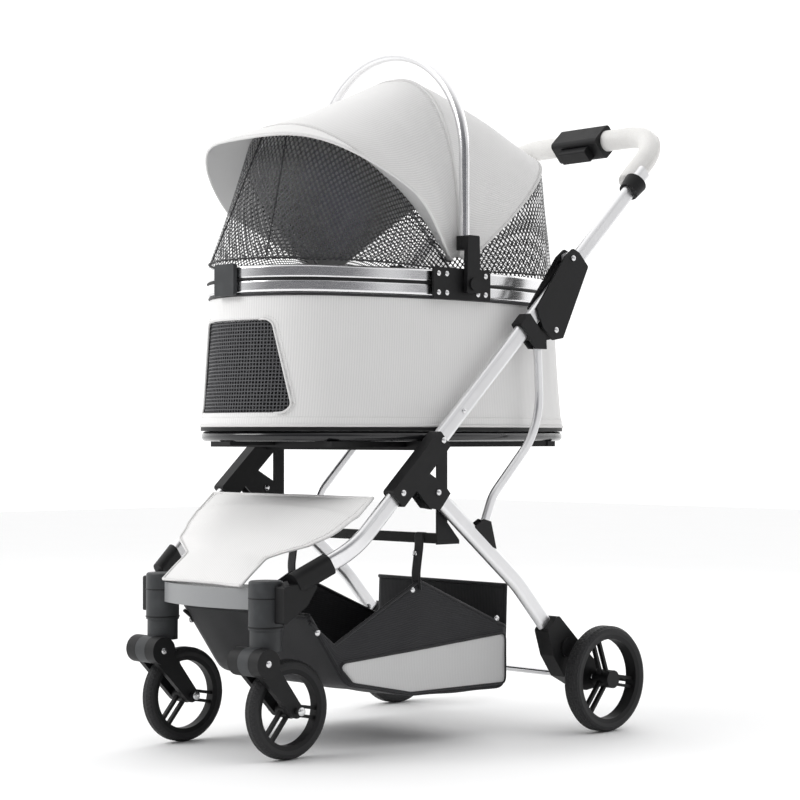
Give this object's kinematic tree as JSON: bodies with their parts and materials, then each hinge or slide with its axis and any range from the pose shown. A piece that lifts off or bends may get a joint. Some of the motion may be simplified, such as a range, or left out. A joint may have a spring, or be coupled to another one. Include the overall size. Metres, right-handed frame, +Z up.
{
  "type": "pet stroller",
  "caption": "Four-wheel folding pet stroller: a lift-off oval carrier with canopy, mesh windows and arch handle on a flat-tube frame with casters, basket and push handle.",
  "frame": {"origin": "on the ground, under the middle of the whole stroller's box", "axes": "+Z up, +X the stroller's left side, the front casters lead towards -Y and the push handle stands over +Y"},
  "size_m": [0.546, 0.924, 1.124],
  "materials": {
    "frame_aluminium": "satin anodised",
    "rail_aluminium": "polished extrusion",
    "chrome": "plated",
    "rivet_steel": "domed rivets and snaps",
    "spring_steel": "drawn wire",
    "black_plastic": "fine moulded texture",
    "charcoal_plastic": "fine moulded texture",
    "grey_plastic": "satin",
    "gloss_black": "glossy",
    "black_steel": "powder coat",
    "tyre_rubber": "soft rubber with a fine tread",
    "white_grip": "padded, fine grain",
    "white_cloth": "ribbed weave",
    "black_cloth": "coated weave",
    "grey_cloth": "ribbed weave",
    "webbing": "woven strap",
    "black_mesh": "open mesh"
  },
  "bodies": {
    "frame": {"side_tube_left": "frame_aluminium", "side_tube_right": "frame_aluminium", "front_socket_left": "black_plastic", "front_socket_right": "black_plastic", "caster_housing_left": "charcoal_plastic", "caster_housing_right": "charcoal_plastic", "footrest": "grey_plastic", "leg_panel": "white_cloth", "brace_left": "black_plastic", "brace_right": "black_plastic", "deck_ring": "gloss_black", "deck_frame": "black_steel", "hinge_housing_left": "black_plastic", "hinge_housing_right": "black_plastic", "basket_bar": "black_steel", "basket": "black_cloth", "basket_straps": "webbing", "frame_fasteners": "rivet_steel"},
    "rear_legs": {"rear_leg_left": "frame_aluminium", "rear_leg_right": "frame_aluminium", "leg_foot_left": "black_plastic", "leg_foot_right": "black_plastic", "rear_axle": "chrome", "link_lugs": "black_plastic"},
    "runner": {"link_runners": "black_plastic"},
    "links": {"link_rods": "frame_aluminium"},
    "handle": {"handle_tube_left": "frame_aluminium", "handle_tube_right": "frame_aluminium", "grip": "white_grip", "grip_caps": "black_plastic", "control_box": "black_plastic"},
    "trigger": {"fold_trigger": "black_plastic"},
    "carrier": {"carrier_base": "black_plastic", "carrier_body": "white_cloth", "window_mesh": "black_mesh", "lower_rail": "rail_aluminium", "upper_rail": "rail_aluminium", "hub_plates": "black_plastic", "rail_rivets": "rivet_steel", "front_clip": "charcoal_plastic", "rear_mesh": "black_mesh"},
    "arch": {"arch_handle": "rail_aluminium", "arch_sockets": "black_plastic"},
    "hood": {"canopy": "white_cloth", "canopy_bow": "spring_steel", "front_mesh": "black_mesh"},
    "caster_left": {"caster_swivel_left": "charcoal_plastic"},
    "fork_left": {"caster_fork_left": "black_plastic"},
    "front_wheel_left": {"front_rim_left": "black_plastic", "front_tyre_left": "tyre_rubber"},
    "rear_wheel_left": {"rear_rim_left": "black_plastic", "rear_tyre_left": "tyre_rubber"},
    "brake_left": {"brake_pedal_left": "black_plastic"},
    "caster_right": {"caster_swivel_right": "charcoal_plastic"},
    "fork_right": {"caster_fork_right": "black_plastic"},
    "front_wheel_right": {"front_rim_right": "black_plastic", "front_tyre_right": "tyre_rubber"},
    "rear_wheel_right": {"rear_rim_right": "black_plastic", "rear_tyre_right": "tyre_rubber"},
    "brake_right": {"brake_pedal_right": "black_plastic"}
  },
  "joints": [
    {"name": "frame_fold", "type": "hinge", "parent": "frame", "child": "rear_legs", "pos_m": [0, -0.1495, 0.398], "axis": [1, 0, 0], "range_deg": [-32, 0]},
    {"name": "handle_fold", "type": "hinge", "parent": "frame", "child": "handle", "pos_m": [0, 0.1591, 0.779], "axis": [1, 0, 0], "range_deg": [0, 60]},
    {"name": "runner_slide", "type": "slide", "parent": "frame", "child": "runner", "axis": [0, 0.7278, 0.6858], "range_m": [-0.0695, 0]},
    {"name": "link_swing", "type": "hinge", "parent": "rear_legs", "child": "links", "pos_m": [0, -0.0405, 0.341], "axis": [1, 0, 0], "range_deg": [0, 32.8]},
    {"name": "trigger_pull", "type": "slide", "parent": "handle", "child": "trigger", "axis": [0, 0.7278, 0.6858], "range_m": [0, 0.005], "stiffness_N_per_m": 600, "springref_m": -0.01},
    {"name": "carrier_lift", "type": "slide", "parent": "frame", "child": "carrier", "axis": [0, 0, 1], "range_m": [0, 0.06]},
    {"name": "arch_swing", "type": "hinge", "parent": "carrier", "child": "arch", "pos_m": [0, -0.0535, 0.726], "axis": [1, 0, 0], "range_deg": [-40, 5]},
    {"name": "canopy_fold", "type": "hinge", "parent": "carrier", "child": "hood", "pos_m": [0, -0.0515, 0.75], "axis": [1, 0, 0], "range_deg": [-40, 0], "deforming": ["canopy", "front_mesh"]},
    {"name": "caster_swivel_left", "type": "hinge", "parent": "frame", "child": "caster_left", "pos_m": [0.129, -0.4175, 0.18], "axis": [0, 0, 1], "continuous": true},
    {"name": "caster_spring_left", "type": "hinge", "parent": "caster_left", "child": "fork_left", "pos_m": [0.129, -0.4405, 0.15], "axis": [1, 0, 0], "range_deg": [0, 8], "stiffness_Nm_per_rad": 40, "springref_deg": -8.59},
    {"name": "front_wheel_spin_left", "type": "hinge", "parent": "fork_left", "child": "front_wheel_left", "pos_m": [0.129, -0.3775, 0.075], "axis": [1, 0, 0], "continuous": true},
    {"name": "rear_wheel_spin_left", "type": "hinge", "parent": "rear_legs", "child": "rear_wheel_left", "pos_m": [0.254, 0.1985, 0.0865], "axis": [1, 0, 0], "continuous": true},
    {"name": "brake_press_left", "type": "hinge", "parent": "rear_legs", "child": "brake_left", "pos_m": [0.19, 0.1985, 0.0865], "axis": [1, 0, 0], "range_deg": [-15, 0]},
    {"name": "caster_swivel_right", "type": "hinge", "parent": "frame", "child": "caster_right", "pos_m": [-0.129, -0.4175, 0.18], "axis": [0, 0, 1], "continuous": true},
    {"name": "caster_spring_right", "type": "hinge", "parent": "caster_right", "child": "fork_right", "pos_m": [-0.129, -0.4405, 0.15], "axis": [1, 0, 0], "range_deg": [0, 8], "stiffness_Nm_per_rad": 40, "springref_deg": -8.59},
    {"name": "front_wheel_spin_right", "type": "hinge", "parent": "fork_right", "child": "front_wheel_right", "pos_m": [-0.129, -0.3775, 0.075], "axis": [1, 0, 0], "continuous": true},
    {"name": "rear_wheel_spin_right", "type": "hinge", "parent": "rear_legs", "child": "rear_wheel_right", "pos_m": [-0.254, 0.1985, 0.0865], "axis": [1, 0, 0], "continuous": true},
    {"name": "brake_press_right", "type": "hinge", "parent": "rear_legs", "child": "brake_right", "pos_m": [-0.19, 0.1985, 0.0865], "axis": [1, 0, 0], "range_deg": [-15, 0]}
  ],
  "couplings": [
    {"joint": "handle_fold", "follows": "frame_fold", "ratio": -1.875},
    {"joint": "runner_slide", "follows": "frame_fold", "m_per_rad": 0.12355},
    {"joint": "link_swing", "follows": "frame_fold", "ratio": -1.021}
  ]
}
